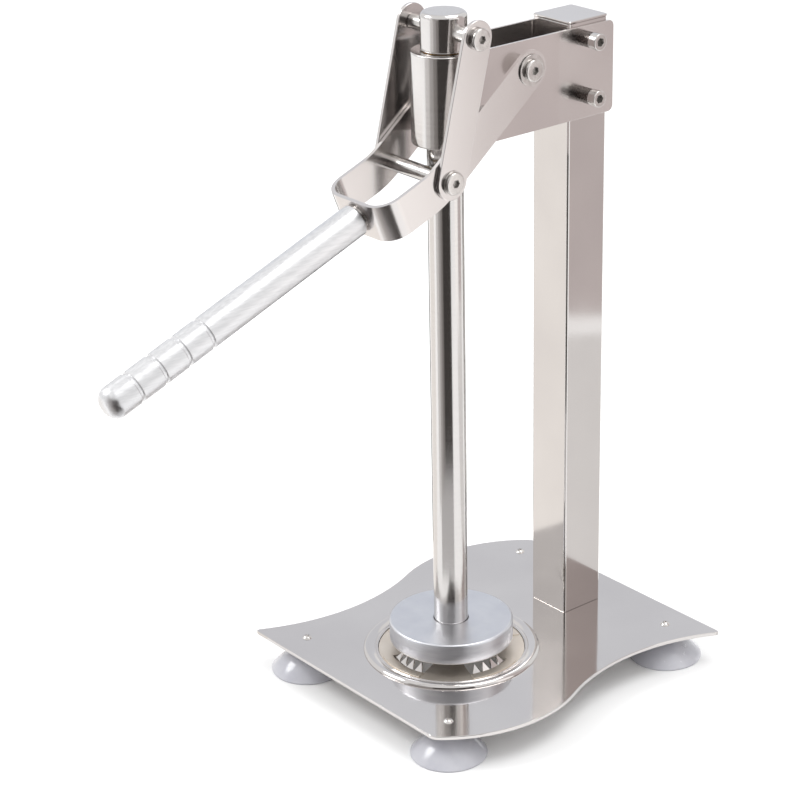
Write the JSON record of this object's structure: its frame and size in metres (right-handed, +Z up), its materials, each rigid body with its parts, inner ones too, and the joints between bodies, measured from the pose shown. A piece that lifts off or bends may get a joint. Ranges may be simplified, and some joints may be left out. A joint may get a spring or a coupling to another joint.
{
  "type": "bench-top lever fruit press",
  "caption": "Bench-top lever press for fruit: a forked handle and side links drive a round presser on a guided ram down to a toothed die, on a plate with suction feet.",
  "frame": {"origin": "the middle of the press's outline on the bench, at bench level; the ram axis is 63.9 mm behind it", "axes": "+Z up; -Y towards the operator, where the handle points; +X the operator's right"},
  "size_m": [0.2626, 0.4996, 0.5535],
  "materials": {
    "polished_stainless": "mirror polished",
    "turned_stainless": "fine turned and polished",
    "fastener_stainless": "bright machined",
    "satin_aluminium": "satin anodised",
    "bronze": "machined",
    "clear_vinyl": "smooth translucent"
  },
  "bodies": {
    "frame": {"base_plate": "polished_stainless", "dish_ring": "polished_stainless", "die_plate": "polished_stainless", "tooth_ring": "polished_stainless", "column": "polished_stainless", "column_foot": "polished_stainless", "column_cap": "polished_stainless", "column_screws": "fastener_stainless", "arm_plate_left": "polished_stainless", "arm_plate_right": "polished_stainless", "guide_sleeve": "turned_stainless", "guide_bush_upper": "bronze", "guide_bush_lower": "bronze", "clamp_bolts": "fastener_stainless", "clamp_spacers": "fastener_stainless", "clamp_nuts": "fastener_stainless", "fulcrum_pin": "fastener_stainless", "fulcrum_spacers": "fastener_stainless", "fulcrum_washers": "fastener_stainless", "fulcrum_bolts": "fastener_stainless", "foot_screws": "fastener_stainless", "foot_nuts": "fastener_stainless", "suction_cup_front_left": "clear_vinyl", "suction_cup_front_right": "clear_vinyl", "suction_cup_rear_left": "clear_vinyl", "suction_cup_rear_right": "clear_vinyl"},
    "lever": {"lever_fork": "polished_stainless", "handle": "satin_aluminium", "handle_screw": "fastener_stainless", "handle_washer": "fastener_stainless", "knee_pin": "fastener_stainless", "knee_bolts": "fastener_stainless", "knee_washers": "fastener_stainless"},
    "links": {"link_left": "polished_stainless", "link_right": "polished_stainless", "crosshead_bolts": "fastener_stainless", "crosshead_washers": "fastener_stainless"},
    "ram": {"ram_shaft": "turned_stainless", "ram_head": "turned_stainless", "crosshead_pin": "fastener_stainless", "presser_disc": "satin_aluminium", "presser_screw": "fastener_stainless"}
  },
  "joints": [
    {"name": "lever_hinge", "type": "hinge", "parent": "frame", "child": "lever", "pos_m": [0, 0.11889, 0.5055], "axis": [-1, 0, 0], "range_deg": [0, 70]},
    {"name": "ram_slide", "type": "slide", "parent": "frame", "child": "ram", "axis": [0, 0, 1], "range_m": [0, 0.11737]},
    {"name": "link_hinge", "type": "hinge", "parent": "lever", "child": "links", "pos_m": [0, 0.03839, 0.4365], "axis": [-1, 0, 0], "range_deg": [-63.33, 0]}
  ],
  "couplings": [
    {"joint": "ram_slide", "follows": "lever_hinge", "m_per_rad": 0.096058},
    {"joint": "link_hinge", "follows": "lever_hinge", "ratio": -0.90405}
  ]
}
